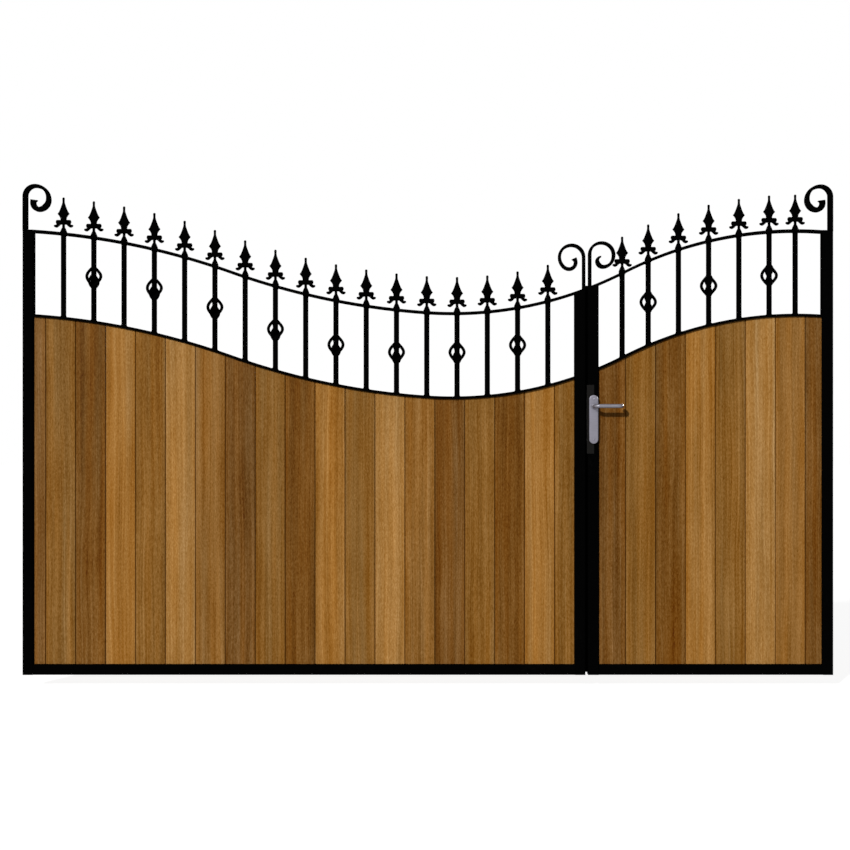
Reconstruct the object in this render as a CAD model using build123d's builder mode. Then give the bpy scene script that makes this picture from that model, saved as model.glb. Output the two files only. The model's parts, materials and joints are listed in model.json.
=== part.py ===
from build123d import *
import os
from dataclasses import dataclass
from math import cos, pi, radians, sin, sqrt

# A pair of unequal driveway gates: a wide left leaf and a narrow right leaf, each a welded
# steel frame with a boarded timber panel below, round bars with railheads above, and a top
# that falls and rises in one sweep across both leaves. All lengths are in millimetres.
# The origin is the middle of the wall face of the lower left hinge plate. +X runs along the
# gate to the right, +Y runs away from the road and +Z is up.

# Layout of the pair
left_leaf_width = 2116.5
right_leaf_width = 921.5
leaf_gap = 10
wall_gap = 12

# Sweep of the top rail's centre line: its low point, on the wide leaf, and how far from there
# the two valley arcs meet and each valley turns into a crest
sweep_low_height = 1359.5
sweep_low_reach = 499.2
sweep_join_reach = 94.3
sweep_left_turn_reach = 834.9
sweep_right_turn_reach = 646.8
sweep_left_radius = 2757
sweep_right_radius = 1423

# Frame
hanging_stile_size = 40
meeting_stile_size = 40
bottom_rail_size = 40
tube_wall = 3
tube_corner = 4
cap_thickness = 4
rail_thickness = 10
rail_depth = 40
rail_drop = 317.4

# Tongued and grooved boards, and the strips behind them
panel_thickness = 20
panel_clearance = 1
board_cover = 112.7
left_first_joint = 45.5
right_first_joint = 102.4
least_board = 30
board_gap = 0.3
joint_width = 5
joint_depth = 3
tongue_depth = 6
tongue_thickness = 6
bead_width = 20
bead_thickness = 5
bead_gap = 1.5

# Upright bars
bar_diameter = 20
bar_pitch = 114.1
left_hanging_space = 110.3
left_meeting_space = 100
right_hanging_space = 98.8
right_meeting_space = 90.2
right_end_pitch = 98.35

# Twisted baskets on every second bar, and how far down the bar each one sits
basket_height = 75
basket_width = 65.5
basket_rod = 11.5
basket_rods = 4
basket_twist = -110
basket_turn = -8.4
basket_bow_power = 0.94
basket_spans = 8
basket_rod_start_share = 0.5
basket_collar_diameter = 27
basket_collar_height = 8
basket_clearance = 0.3
left_basket_shares = (0.487, 0.486, 0.509, 0.534, 0.545, 0.522, 0.480, 0.459)
right_basket_shares = (0.503, 0.543, 0.529)

# Cast railheads: a waisted blade above a pair of curled leaves on a conical collar
head_height = 133
head_blade_width = 43
head_blade_thickness = 15
head_leaf_width = 74
head_leaf_thickness = 11
head_collar_diameter = 25
head_collar_height = 17
head_neck_diameter = 9.5
head_skirt = 12
# height, width and thickness of the blade's sections, from its root to its tip
blade_shares = (
    (0.27, 0.42, 0.62),
    (0.37, 0.54, 0.80),
    (0.46, 0.88, 0.95),
    (0.53, 1.00, 1.00),
    (0.58, 0.89, 0.95),
    (0.73, 0.47, 0.70),
    (0.84, 0.17, 0.45),
    (1.00, 0.11, 0.32),
)
# out from the middle and up from the rail, round the edge of one leaf
leaf_top_share = 0.348
leaf_root_share = 0.227
leaf_shoulder_shares = ((0.70, 0.348), (0.80, 0.318), (0.76, 0.270))
leaf_notch_shares = ((0.64, 0.240), (0.80, 0.232), (1.00, 0.197))
leaf_tip_shares = ((0.86, 0.148), (0.66, 0.150), (0.42, 0.215))

# Scrolled bars that stand on the stiles: quarter turns of falling radius
hanging_scroll_size = 20
hanging_scroll_rise = 172
hanging_scroll_radii = (36, 50, 34, 26, 12)
meeting_scroll_size = 13
meeting_scroll_depth = 18
meeting_scroll_rise = 169
meeting_scroll_radii = (45, 45, 44, 24, 13)

# Hinges: an eye on the leaf turns on a headed pin between two lugs of a wall plate
lower_hinge_height = 220
hinge_spacing = 1000
pin_inset = 20
pin_setback = 66
pin_diameter = 16
pin_head_diameter = 24
pin_head_height = 6
pin_clearance = 0.2
eye_diameter = 30
eye_height = 56
eye_play = 0.3
eye_head_room = 3
strap_thickness = 12
lug_thickness = 12
plate_thickness = 6
plate_width = 80
plate_height = 160
plate_corner = 8
plate_hole_diameter = 11
plate_hole_inset = 15

# Lever lock on the narrow leaf
lever_height = 1010
lever_diameter = 14
lever_length = 101
lever_standoff = 44
lever_return = 34
lever_bend = 12
lever_hub_diameter = 20
lever_hub_height = 10
lever_clearance = 0.3
spindle_size = 8
spindle_hole_diameter = 20
handle_plate_width = 34
handle_plate_height = 186
handle_plate_rise = 45
handle_plate_thickness = 8
handle_plate_edge = 2.5
lock_cover_reach = 22
lock_cover_overhang = 5
lock_cover_height = 258
lock_cover_rise = 80
lock_cover_thickness = 3
forend_width = 22
forend_height = 240
inset_clearance = 0.3
latch_width = 12
latch_height = 30
latch_rise = 2
keep_width = 24
keep_end = 14
keep_slot_width = 14
keep_slot_height = 34

# Strip on the back of the narrow leaf that closes the view through the gap
strip_thickness = 12
strip_lap = 2.7
strip_clearance = 3.4
strip_foot = 5

# Drop bolt on the back of the wide leaf
bolt_diameter = 16
bolt_length = 420
bolt_lift = 15
bolt_grip = 70
bolt_bend = 20
bolt_standoff = 16
bolt_clearance = 0.3
guide_width = 34
guide_height = 25
guide_wall = 6
guide_spacing = 220
lower_guide_height = 90

# Cuts run past the work by this much
overrun = 60

# Places worked out from the sizes above
lug_radius = eye_diameter / 2
pin_to_plate = plate_width / 2 - lug_radius
frame_y = -(pin_setback + pin_to_plate)
foot_z = -lower_hinge_height
left_edge = wall_gap
right_edge = left_edge + left_leaf_width + leaf_gap + right_leaf_width
sweep_low_x = left_edge + left_leaf_width - sweep_low_reach
rail_top = rail_thickness / 2
rail_under = -rail_thickness / 2
gate_plane = Plane(origin=(0, frame_y, 0), x_dir=(1, 0, 0), z_dir=(0, -1, 0))


@dataclass
class SweepArc:
    """A stretch of the sweep: its centre, radius, +1 for a crest or -1 for a valley, and its right end."""

    centre: Vector
    radius: float
    bulge: int
    end: Vector

    def end_x(self, rise):
        """Where the stretch ends on a curve that runs a distance above it, square to it."""
        return (self.end + (self.end - self.centre) * (self.bulge * rise / self.radius)).X

    def height(self, x, rise):
        """Height of that curve above a place along the gate."""
        across = x - self.centre.X
        return self.centre.Y + self.bulge * sqrt((self.radius + self.bulge * rise) ** 2 - across**2)


def sweep_arcs():
    """The four tangent arcs of the sweep: a crest, two valleys that meet near the low point, a crest."""
    low = Vector(sweep_low_x, foot_z + sweep_low_height)
    right_valley = SweepArc(low + Vector(0, sweep_right_radius), sweep_right_radius, -1, low)

    def at(arc, x):
        return Vector(x, arc.height(x, 0))

    join = at(right_valley, sweep_low_x - sweep_join_reach)
    inward = (right_valley.centre - join).normalized()
    left_valley = SweepArc(join + inward * sweep_left_radius, sweep_left_radius, -1, join)
    left_turn = at(left_valley, sweep_low_x - sweep_left_turn_reach)
    outward = (left_turn - left_valley.centre).normalized()
    left_crest = SweepArc(left_turn + outward * sweep_left_radius, sweep_left_radius, 1, left_turn)
    right_valley.end = at(right_valley, sweep_low_x + sweep_right_turn_reach)
    outward = (right_valley.end - right_valley.centre).normalized()
    right_centre = right_valley.end + outward * sweep_right_radius
    right_end = right_centre + Vector(sweep_right_radius, 0)
    right_crest = SweepArc(right_centre, sweep_right_radius, 1, right_end)
    return [left_crest, left_valley, right_valley, right_crest]


arcs = sweep_arcs()


def sweep_stretches(x_from, x_to, rise):
    """The arcs that cover a run along the gate, each with the part of the run that it covers."""
    start = x_from
    for arc in arcs:
        stop = min(arc.end_x(rise), x_to)
        if arc is arcs[-1]:
            stop = x_to
        if stop > start:
            yield arc, start, stop
            start = stop


def sweep_height(x, rise):
    """Height of the sweep, or of a curve a distance above it, at a place along the gate."""
    arc, _, _ = next(sweep_stretches(x, x + rail_thickness, rise))
    return arc.height(x, rise)


@dataclass
class Bound:
    """An edge of a region: the sweep, raised and then let down, or a level line."""

    rise: float = 0
    drop: float = 0
    level: float = None

    def draw(self, x_from, x_to):
        """Draw the edge between two places along the gate, and give its two ends."""
        if self.level is not None:
            Line((x_from, self.level), (x_to, self.level))
            return (x_from, self.level), (x_to, self.level)
        points = []
        for arc, start, stop in sweep_stretches(x_from, x_to, self.rise):
            run = [(x, arc.height(x, self.rise) - self.drop) for x in (start, (start + stop) / 2, stop)]
            ThreePointArc(*run)
            points += run
        return points[0], points[-1]


def region(x_from, x_to, lower, upper):
    """Face in the plane of the gate between two edges."""
    with BuildSketch(gate_plane) as face:
        with BuildLine():
            lower_ends = lower.draw(x_from, x_to)
            upper_ends = upper.draw(x_from, x_to)
            Line(lower_ends[0], upper_ends[0])
            Line(lower_ends[1], upper_ends[1])
        make_face()
    return face.sketch


@dataclass
class Leaf:
    """One leaf: its hanging edge, the way from there to its meeting edge, its width and its infill."""

    name: str
    hanging_edge: float
    way: int
    width: float
    hanging_space: float
    meeting_space: float
    end_pitch: float
    basket_shares: tuple
    first_joint: float

    def along(self, distance):
        """Place at a distance from the hanging edge."""
        return self.hanging_edge + self.way * distance

    @property
    def meeting_edge(self):
        return self.along(self.width)

    @property
    def opening(self):
        """The left and right ends of the clear width between the stiles."""
        near = self.along(hanging_stile_size)
        far = self.along(self.width - meeting_stile_size)
        return min(near, far), max(near, far)

    @property
    def top_run(self):
        """The top rail runs from the hanging stile's inner face over the meeting stile."""
        near = self.along(hanging_stile_size)
        return min(near, self.meeting_edge), max(near, self.meeting_edge)

    @property
    def stile_centres(self):
        return (
            (self.along(hanging_stile_size / 2), hanging_stile_size),
            (self.along(self.width - meeting_stile_size / 2), meeting_stile_size),
        )

    @property
    def stile_top(self):
        """The hanging stile's cap is level with the top of the rail that meets it."""
        return sweep_height(self.along(hanging_stile_size), rail_top)

    @property
    def bar_centres(self):
        """Two end bars, each its own space from its stile, and a row as near to one pitch as fits evenly."""
        near = self.along(hanging_stile_size + self.hanging_space)
        far = self.along(self.width - meeting_stile_size - self.meeting_space)
        first = min(near, far) + self.end_pitch
        last = max(near, far) - self.end_pitch
        spaces = round((last - first) / bar_pitch)
        row = [first + (last - first) * i / spaces for i in range(spaces + 1)]
        return [first - self.end_pitch, *row, last + self.end_pitch]

    @property
    def joints(self):
        """Places of the joints between the boards, from the panel's left end."""
        start, stop = self.opening
        count = int((stop - start - self.first_joint - least_board) / board_cover) + 1
        return [start + self.first_joint + i * board_cover for i in range(count)]


left_leaf = Leaf(
    "left", left_edge, 1, left_leaf_width, left_hanging_space, left_meeting_space, bar_pitch,
    left_basket_shares, left_first_joint,
)
right_leaf = Leaf(
    "right", right_edge, -1, right_leaf_width, right_hanging_space, right_meeting_space, right_end_pitch,
    right_basket_shares, right_first_joint,
)

# A level above everything, for cuts
gate_top = max(left_leaf.stile_top, right_leaf.stile_top) + hanging_scroll_rise + overrun

# The lock's spindle is in the middle of the narrow leaf's meeting stile
spindle_x = right_leaf.along(right_leaf.width - meeting_stile_size / 2)
lever_z = foot_z + lever_height
meeting_half = meeting_stile_size / 2
hanging_half = hanging_stile_size / 2


def hardware_plane(side, seat, x=spindle_x, z=lever_z):
    """Plane on the front (-1) or back (+1) of a leaf, facing away from it, with X along the gate."""
    return Plane(origin=(x, seat, z), x_dir=(-side, 0, 0), z_dir=(0, side, 0))


def save(builder, name):
    """Label a finished piece and write it."""
    builder.part.label = name
    export_step(builder.part, f"parts/{name}.step")


# Frame of a leaf


def hanging_stile(leaf):
    """Box section from the foot cap to the top cap."""
    centre, size = leaf.stile_centres[0]
    with BuildPart() as stile:
        with BuildSketch(Plane.XY.offset(foot_z + cap_thickness)):
            with Locations((centre, frame_y)):
                RectangleRounded(size, size, tube_corner)
                Rectangle(size - 2 * tube_wall, size - 2 * tube_wall, mode=Mode.SUBTRACT)
        extrude(amount=leaf.stile_top - foot_z - 2 * cap_thickness)
    return stile


def meeting_stile(leaf):
    """Box section cut to the slope of the rail that closes it, with cut-outs for the lock or its keep."""
    centre, size = leaf.stile_centres[1]
    ends = sorted((centre - leaf.way * size, centre + leaf.way * size))
    above = region(*ends, Bound(rise=rail_under), Bound(level=gate_top))
    inset = (keep_width, keep_height()) if leaf is left_leaf else (forend_width, forend_height)
    with BuildPart() as stile:
        with BuildSketch(Plane.XY.offset(foot_z + cap_thickness)):
            with Locations((centre, frame_y)):
                RectangleRounded(size, size, tube_corner)
                Rectangle(size - 2 * tube_wall, size - 2 * tube_wall, mode=Mode.SUBTRACT)
        extrude(amount=gate_top - foot_z - cap_thickness)
        extrude(above, amount=size, both=True, mode=Mode.SUBTRACT)
        if leaf is right_leaf:
            with BuildSketch(hardware_plane(-1, frame_y)):
                Circle(spindle_hole_diameter / 2)
            extrude(amount=size, both=True, mode=Mode.SUBTRACT)
        with Locations((leaf.along(leaf.width - tube_wall / 2), frame_y, forend_z())):
            Box(tube_wall, *inset, mode=Mode.SUBTRACT)
    return stile


def bottom_rail(leaf):
    """Box section between the stiles at the foot."""
    start, stop = leaf.opening
    size = bottom_rail_size
    with BuildPart() as rail:
        with BuildSketch(Plane.YZ.offset(start)):
            with Locations((frame_y, foot_z + size / 2)):
                RectangleRounded(size, size, tube_corner)
                Rectangle(size - 2 * tube_wall, size - 2 * tube_wall, mode=Mode.SUBTRACT)
        extrude(amount=stop - start)
    return rail


def swept_rail(run, drop):
    """Flat bar bent to the sweep."""
    band = region(*run, Bound(rise=rail_under, drop=drop), Bound(rise=rail_top, drop=drop))
    with BuildPart() as rail:
        extrude(band, amount=rail_depth / 2, both=True)
    return rail


def stile_caps(leaf):
    """Plates that close the hanging stile's two ends and the meeting stile's foot."""
    with BuildPart() as caps:
        for centre, size in leaf.stile_centres:
            with BuildSketch(Plane.XY.offset(foot_z)):
                with Locations((centre, frame_y)):
                    RectangleRounded(size, size, tube_corner)
            extrude(amount=cap_thickness)
        centre, size = leaf.stile_centres[0]
        with BuildSketch(Plane.XY.offset(leaf.stile_top - cap_thickness)):
            with Locations((centre, frame_y)):
                RectangleRounded(size, size, tube_corner)
        extrude(amount=cap_thickness)
    return caps


# Timber


def timber_panel(leaf):
    """Tongued boards with V joints on both faces, standing on the bottom rail under the swept panel rail."""
    start, stop = leaf.opening
    above = region(
        start, stop, Bound(rise=rail_under - panel_clearance, drop=rail_drop), Bound(level=gate_top)
    )
    half = panel_thickness / 2
    edges = [start + panel_clearance, *leaf.joints, stop - panel_clearance]
    from_joint = (Align.MIN, Align.CENTER)
    with BuildPart() as boards:
        with BuildSketch(Plane.XY.offset(foot_z + bottom_rail_size)):
            for near, far in zip(edges, edges[1:]):
                with Locations(((near + far) / 2, frame_y)):
                    Rectangle(far - near - board_gap, panel_thickness)
            for face in (-1, 1):
                with Locations(*[(x, frame_y + face * half) for x in leaf.joints]):
                    Polygon(
                        (-joint_width / 2, 0), (joint_width / 2, 0), (0, -face * joint_depth),
                        align=None, mode=Mode.SUBTRACT,
                    )
            groove = (tongue_depth + board_gap, tongue_thickness + 2 * board_gap)
            with Locations(*[(x, frame_y) for x in leaf.joints]):
                Rectangle(*groove, align=from_joint, mode=Mode.SUBTRACT)
            with Locations(*[(x - board_gap, frame_y) for x in leaf.joints]):
                Rectangle(tongue_depth, tongue_thickness, align=from_joint)
        extrude(amount=gate_top - foot_z - bottom_rail_size)
        extrude(above, amount=panel_thickness, both=True, mode=Mode.SUBTRACT)
    return boards


def panel_beads(leaf):
    """Steel strips behind the boards, welded to the stiles, the bottom rail and the panel rail."""
    start, stop = leaf.opening
    back = frame_y + panel_thickness / 2
    middle = back + bead_thickness / 2
    foot = foot_z + bottom_rail_size
    run = (start + bead_width + bead_gap, stop - bead_width - bead_gap)
    under = Bound(rise=rail_under, drop=rail_drop)
    above = region(start, stop, under, Bound(level=gate_top))
    strip = region(*run, Bound(rise=rail_under - bead_width, drop=rail_drop), under)
    strip_plane = Plane(origin=(0, back - frame_y, 0))
    with BuildPart() as beads:
        with BuildSketch(Plane.XY.offset(foot)):
            with Locations((start + bead_width / 2, middle), (stop - bead_width / 2, middle)):
                Rectangle(bead_width, bead_thickness)
        extrude(amount=gate_top - foot)
        extrude(above, amount=rail_depth, both=True, mode=Mode.SUBTRACT)
        with Locations((sum(run) / 2, middle, foot + bead_width / 2)):
            Box(run[1] - run[0], bead_thickness, bead_width)
        extrude(strip.moved(strip_plane.location), amount=-bead_thickness)
    return beads


# Ironwork above the panel


def bars(leaf):
    """Round bars cut to the two swept rails."""
    window = region(*leaf.opening, Bound(rise=rail_top, drop=rail_drop), Bound(rise=rail_under))
    with BuildPart() as row:
        with BuildSketch(Plane.XY.offset(foot_z)):
            with Locations(*[(x, frame_y) for x in leaf.bar_centres]):
                Circle(bar_diameter / 2)
        extrude(amount=gate_top - foot_z)
        extrude(window, amount=rail_depth, both=True, mode=Mode.INTERSECT)
    return row


def basket():
    """Four bowed rods that twist round the bar between two collars."""
    reach = (basket_width - basket_rod) / 2
    start = bar_diameter / 2 * basket_rod_start_share
    bore = bar_diameter / 2 + basket_clearance
    half = basket_height / 2

    def place(middle, share):
        """Point of a rod a share of the way down: it bows out like a sine as it twists."""
        radius = start + (reach - start) * sin(pi * share) ** basket_bow_power
        angle = radians(middle + basket_twist * (share - 1 / 2))
        return radius * cos(angle), radius * sin(angle), half - basket_height * share

    with BuildPart() as cage:
        for i in range(basket_rods):
            middle = basket_turn + 360 / basket_rods * i
            with BuildLine() as bow:
                Spline(*[place(middle, n / basket_spans) for n in range(basket_spans + 1)])
            with BuildSketch(Plane(origin=bow.line @ 0, z_dir=bow.line % 0)):
                Circle(basket_rod / 2)
            sweep(path=bow.line)
        with Locations((0, 0, half - basket_collar_height / 2), (0, 0, basket_collar_height / 2 - half)):
            Cylinder(basket_collar_diameter / 2, basket_collar_height)
        Cylinder(basket_width, basket_height, mode=Mode.INTERSECT)
        Cylinder(bore, 2 * basket_height, mode=Mode.SUBTRACT)
    return cage


def baskets(leaf):
    """A basket on every second bar."""
    cage = basket().part
    places = []
    for i, x in enumerate(leaf.bar_centres[1::2]):
        share = leaf.basket_shares[i % len(leaf.basket_shares)]
        places.append((x, frame_y, sweep_height(x, rail_top) - rail_drop * share))
    with BuildPart() as row:
        with Locations(*places):
            add(cage)
    return row


def railhead():
    """Cast head: collar and neck, a blade of lens sections, and a pair of curled leaves."""

    def leaf_point(shares):
        return shares[0] * head_leaf_width / 2, shares[1] * head_height

    collar = head_collar_diameter / 2
    neck = head_neck_diameter / 2
    leaf_top = leaf_top_share * head_height
    leaf_root = leaf_root_share * head_height
    shoulder = [leaf_point(p) for p in leaf_shoulder_shares]
    notch = [leaf_point(p) for p in leaf_notch_shares]
    tip = [leaf_point(p) for p in leaf_tip_shares]
    with BuildPart() as head:
        with BuildSketch(Plane.XZ):
            with BuildLine():
                Polyline(
                    (0, -head_skirt), (collar, -head_skirt), (collar, 0), (neck, head_collar_height),
                    (neck, leaf_top), (0, leaf_top), close=True,
                )
            make_face()
        revolve(axis=Axis.Z)
        for height_share, width_share, thickness_share in blade_shares:
            width = head_blade_width / 2 * width_share
            thickness = head_blade_thickness / 2 * thickness_share
            with BuildSketch(Plane.XY.offset(head_height * height_share)):
                Polygon((width, 0), (0, thickness), (-width, 0), (0, -thickness), align=None)
        loft(ruled=True)
        with BuildSketch(Plane.XZ):
            with BuildLine():
                Polyline((0, leaf_root), (0, leaf_top), shoulder[0])
                ThreePointArc(*shoulder)
                Line(shoulder[-1], notch[0])
                ThreePointArc(*notch)
                ThreePointArc(notch[-1], tip[0], tip[1])
                Polyline(tip[1], tip[2], (neck, leaf_root), (0, leaf_root))
            make_face()
            mirror(about=Plane.YZ)
        extrude(amount=head_leaf_thickness / 2, both=True)
    return head


def railheads(leaf):
    """A head on the rail above each bar, its collar cut to the rail's slope."""
    head = railhead().part
    below = region(*leaf.opening, Bound(level=foot_z), Bound(rise=rail_top))
    with BuildPart() as row:
        with Locations(*[(x, frame_y, sweep_height(x, rail_top)) for x in leaf.bar_centres]):
            add(head)
        extrude(below, amount=rail_depth, both=True, mode=Mode.SUBTRACT)
    return row


def scroll(x, way, seat, rise, size, depth, radii):
    """Bar flush with the front of the frame that starts below its seat, rises and curls over in quarter turns."""
    base = seat - size
    spring = seat + rise - size / 2 - radii[0]
    forward = (rail_depth - depth) / 2
    with BuildPart() as bar:
        with BuildLine(gate_plane.offset(forward)) as path:
            line = Line((x, base), (x, spring))
            for radius in radii:
                line = JernArc(start=line @ 1, tangent=line % 1, radius=radius, arc_size=-way * 90)
        with BuildSketch(Plane.XY.offset(base)):
            with Locations((x, frame_y - forward)):
                Rectangle(size, depth)
        sweep(path=path.line)
    return bar


def scrolls(leaf):
    """A scroll at the outer edge of the hanging stile and one at the meeting edge, both curling inward."""
    hanging = scroll(
        leaf.along(hanging_scroll_size / 2), leaf.way, leaf.stile_top, hanging_scroll_rise,
        hanging_scroll_size, hanging_scroll_size, hanging_scroll_radii,
    )
    x = leaf.along(leaf.width - meeting_scroll_size / 2)
    meeting = scroll(
        x, -leaf.way, sweep_height(x, rail_top), meeting_scroll_rise,
        meeting_scroll_size, meeting_scroll_depth, meeting_scroll_radii,
    )
    cap_ends = sorted((leaf.hanging_edge, leaf.along(hanging_stile_size)))
    under_cap = region(*cap_ends, Bound(level=foot_z), Bound(level=leaf.stile_top))
    under_rail = region(*leaf.top_run, Bound(level=foot_z), Bound(rise=rail_top))
    with BuildPart() as pair:
        add(meeting.part)
        add(hanging.part)
        extrude(under_cap, amount=hanging_stile_size, both=True, mode=Mode.SUBTRACT)
        extrude(under_rail, amount=rail_depth, both=True, mode=Mode.SUBTRACT)
    return pair


# Hinges


def pin_x(leaf):
    return leaf.along(pin_inset)


def pin_y():
    return frame_y + pin_setback


def hinge_levels():
    """Middle heights of the two hinges of a leaf."""
    return 0, hinge_spacing


def eye_foot(level):
    """Height of the under side of an eye, which runs just above its lower lug."""
    return level - eye_height / 2


def wall_plate(leaf, level):
    """Plate on the pier, with four bolt holes round the hinge."""
    wall_x = leaf.along(-wall_gap)
    face = Plane(origin=(wall_x, 0, level), x_dir=(0, leaf.way, 0), z_dir=(leaf.way, 0, 0))
    with BuildPart() as plate:
        with BuildSketch(face):
            RectangleRounded(plate_width, plate_height, plate_corner)
            with GridLocations(plate_width - 2 * plate_hole_inset, plate_height - 2 * plate_hole_inset, 2, 2):
                Circle(plate_hole_diameter / 2, mode=Mode.SUBTRACT)
        extrude(amount=plate_thickness)
    return plate


def hinge_lugs(leaf):
    """Round-ended lugs above and below each eye, welded to the wall plates."""
    root = leaf.along(plate_thickness - wall_gap)
    length = abs(pin_x(leaf) - root)
    with BuildPart() as lugs:
        for level in hinge_levels():
            lower = eye_foot(level) - eye_play - lug_thickness
            upper = eye_foot(level) + eye_height + eye_head_room
            for foot in (lower, upper):
                with BuildSketch(Plane.XY.offset(foot)):
                    with Locations((pin_x(leaf), pin_y())):
                        Circle(lug_radius)
                    with Locations(((pin_x(leaf) + root) / 2, pin_y())):
                        Rectangle(length, 2 * lug_radius)
                    with Locations((pin_x(leaf), pin_y())):
                        Circle(pin_diameter / 2 + pin_clearance, mode=Mode.SUBTRACT)
                extrude(amount=lug_thickness)
    return lugs


def hinge_pins(leaf):
    """Headed pins dropped through the lugs and the eye."""
    with BuildPart() as pins:
        for level in hinge_levels():
            foot = eye_foot(level) - eye_play - lug_thickness
            seat = eye_foot(level) + eye_height + eye_head_room + lug_thickness
            with BuildSketch(Plane.XY.offset(foot)):
                with Locations((pin_x(leaf), pin_y())):
                    Circle(pin_diameter / 2)
            extrude(amount=seat - foot)
            with BuildSketch(Plane.XY.offset(seat)):
                with Locations((pin_x(leaf), pin_y())):
                    Circle(pin_head_diameter / 2)
            extrude(amount=pin_head_height)
    return pins


def hinge_eyes(leaf):
    """Eyes on straps that are welded to the back of the hanging stile."""
    back = frame_y + hanging_half
    with BuildPart() as eyes:
        for level in hinge_levels():
            with BuildSketch(Plane.XY.offset(eye_foot(level))):
                with Locations((pin_x(leaf), (back + pin_y()) / 2)):
                    Rectangle(strap_thickness, pin_y() - back)
                with Locations((pin_x(leaf), pin_y())):
                    Circle(eye_diameter / 2)
                    Circle(pin_diameter / 2 + pin_clearance, mode=Mode.SUBTRACT)
            extrude(amount=eye_height)
    return eyes


# Lock


def forend_z():
    """Middle height of the lock's forend, which lines up with the cover plate."""
    return lever_z + lock_cover_rise - lock_cover_height / 2


def lock_cover_plate():
    """Plate on the front of the meeting stile that laps a little way over the gap."""
    width = lock_cover_reach + lock_cover_overhang
    middle = right_leaf.meeting_edge + (lock_cover_reach - lock_cover_overhang) / 2
    with BuildPart() as cover:
        with BuildSketch(hardware_plane(-1, frame_y - meeting_half)):
            with Locations((middle - spindle_x, lock_cover_rise - lock_cover_height / 2)):
                Rectangle(width, lock_cover_height)
            Circle(spindle_hole_diameter / 2, mode=Mode.SUBTRACT)
        extrude(amount=lock_cover_thickness)
    return cover


def lock_forend():
    """Forend set flush in the edge of the stile, with the nose of the latch at the spindle's height."""
    edge = right_leaf.meeting_edge
    width = forend_width - 2 * inset_clearance
    height = forend_height - 2 * inset_clearance
    with BuildPart() as forend:
        with Locations((edge + tube_wall / 2, frame_y, forend_z())):
            Box(tube_wall, width, height)
        with BuildSketch(Plane.XY.offset(lever_z - latch_height / 2)):
            with Locations((edge, frame_y)):
                Polygon(
                    (0, -latch_width / 2), (0, latch_width / 2), (-latch_rise, latch_width / 2),
                    align=None,
                )
        extrude(amount=latch_height)
    return forend


def keep_height():
    """The keep runs a little way past its two slots, which lie evenly about the forend's middle."""
    return 2 * abs(forend_z() - lever_z) + keep_slot_height + 2 * keep_end


def lock_keep():
    """Keep set flush in the edge of the wide leaf, with slots for the latch and the bolt."""
    with BuildPart() as keep:
        with BuildSketch(Plane.YZ.offset(left_leaf.meeting_edge)):
            with Locations((frame_y, forend_z())):
                Rectangle(keep_width - 2 * inset_clearance, keep_height() - 2 * inset_clearance)
            with Locations((frame_y, lever_z), (frame_y, 2 * forend_z() - lever_z)):
                Rectangle(keep_slot_width, keep_slot_height, mode=Mode.SUBTRACT)
        extrude(amount=-tube_wall)
    return keep


def meeting_strip():
    """Bar on the back corner of the narrow leaf's meeting stile, behind the gap between the leaves."""
    near = left_leaf.meeting_edge + strip_clearance
    far = right_leaf.meeting_edge + strip_lap
    foot = foot_z + strip_foot
    top = sweep_height(spindle_x, rail_top)
    with BuildPart() as strip:
        with BuildSketch(Plane.XY.offset(foot)):
            with Locations(((near + far) / 2, back_seat() + strip_thickness / 2)):
                Rectangle(far - near, strip_thickness)
        extrude(amount=top - foot)
    return strip


def front_seat():
    return frame_y - meeting_half - lock_cover_thickness


def back_seat():
    return frame_y + meeting_half


def handle_plate(side, seat):
    """Round-ended plate that the lever turns in."""
    with BuildPart() as plate:
        with BuildSketch(hardware_plane(side, seat)):
            with Locations((0, handle_plate_rise - handle_plate_height / 2)):
                SlotOverall(handle_plate_height, handle_plate_width, rotation=90)
        extrude(amount=handle_plate_thickness)
        rim = plate.faces().sort_by(Axis.Y)[0 if side < 0 else -1]
        fillet(rim.edges(), handle_plate_edge)
        with BuildSketch(hardware_plane(side, seat)):
            Circle(lever_diameter / 2 + lever_clearance)
        extrude(amount=handle_plate_thickness, mode=Mode.SUBTRACT)
    return plate


def lever(side, seat):
    """Round bar that leaves the plate square, turns along the gate and turns back at its end."""
    grip = seat + side * (handle_plate_thickness + lever_standoff)
    end = spindle_x + lever_length
    with BuildPart() as handle:
        with BuildLine(Plane.XY.offset(lever_z)) as path:
            FilletPolyline(
                (spindle_x, seat), (spindle_x, grip), (end, grip), (end, grip - side * lever_return),
                radius=lever_bend,
            )
        with BuildSketch(Plane(origin=path.line @ 0, z_dir=path.line % 0)):
            Circle(lever_diameter / 2)
        sweep(path=path.line)
        hub_seat = seat + side * (handle_plate_thickness + lever_clearance)
        with BuildSketch(hardware_plane(side, hub_seat)):
            Circle(lever_hub_diameter / 2)
        extrude(amount=lever_hub_height)
    return handle


def lever_spindle():
    """Square bar between the two levers."""
    length = back_seat() - front_seat()
    with BuildPart() as spindle:
        with Locations((spindle_x, (front_seat() + back_seat()) / 2, lever_z)):
            Box(spindle_size, length, spindle_size)
    return spindle


# Drop bolt


def bolt_place():
    """The bolt stands behind the wide leaf's meeting stile."""
    x = left_leaf.along(left_leaf.width - meeting_half)
    return x, back_seat() + bolt_standoff


def drop_bolt():
    """Round bar with its top bent over as a grip."""
    x, y = bolt_place()
    foot = foot_z + bolt_lift
    top = foot + bolt_length
    with BuildPart() as bolt:
        with BuildLine(Plane(origin=(0, y, 0), x_dir=(1, 0, 0), z_dir=(0, -1, 0))) as path:
            FilletPolyline((x, foot), (x, top), (x - bolt_grip, top), radius=bolt_bend)
        with BuildSketch(Plane.XY.offset(foot)):
            with Locations((x, y)):
                Circle(bolt_diameter / 2)
        sweep(path=path.line)
    return bolt


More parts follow.
